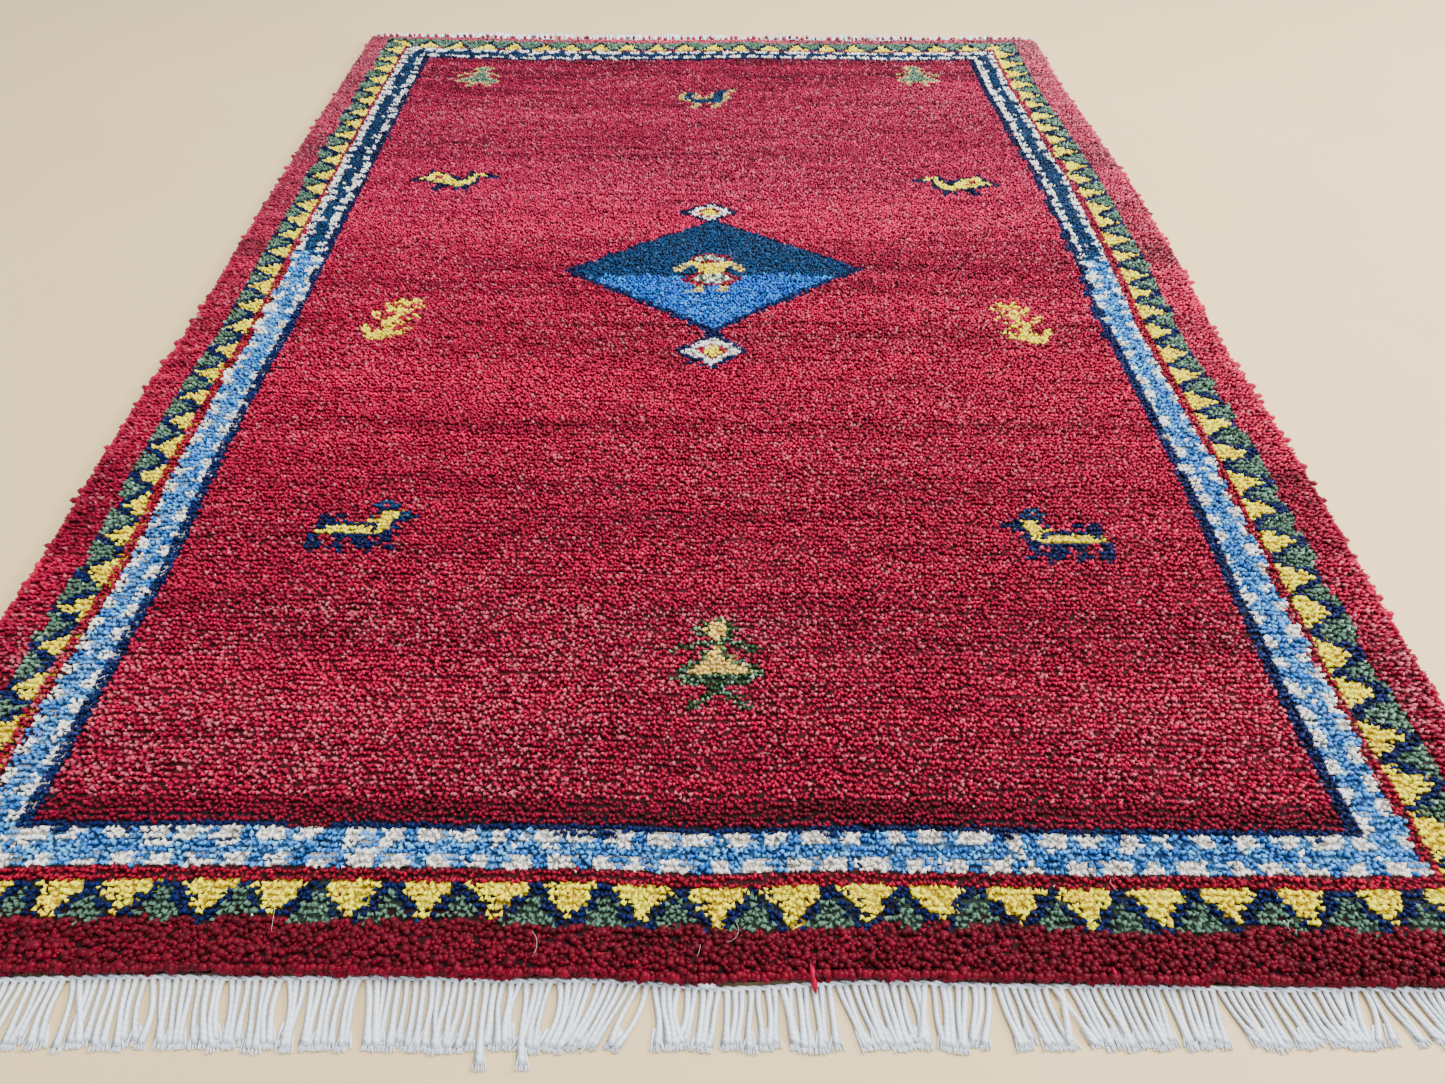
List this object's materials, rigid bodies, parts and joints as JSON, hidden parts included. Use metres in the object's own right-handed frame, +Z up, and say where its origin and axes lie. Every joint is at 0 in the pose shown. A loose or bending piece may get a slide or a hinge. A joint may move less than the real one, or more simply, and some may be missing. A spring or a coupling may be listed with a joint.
{
  "type": "gabbeh rug",
  "caption": "Thick hand-knotted wool gabbeh rug lying flat: deep red field, blue and zigzag borders, central medallion, white fringe at both ends.",
  "frame": {"origin": "on the floor under the middle of the rug, the bottom centre of its box with the fringes", "axes": "+X across the rug, +Y along it from the near fringe to the far fringe, +Z up out of the pile"},
  "size_m": [1.076, 1.628, 0.0153],
  "materials": {
    "wool_pile": "dense cut wool pile, deep red with navy, blue, white, yellow and green knots",
    "cotton_warp": "matt white twisted cotton"
  },
  "bodies": {
    "root": {"knotted_pile": "wool_pile", "fringe_near": "cotton_warp", "fringe_far": "cotton_warp"}
  },
  "joints": []
}
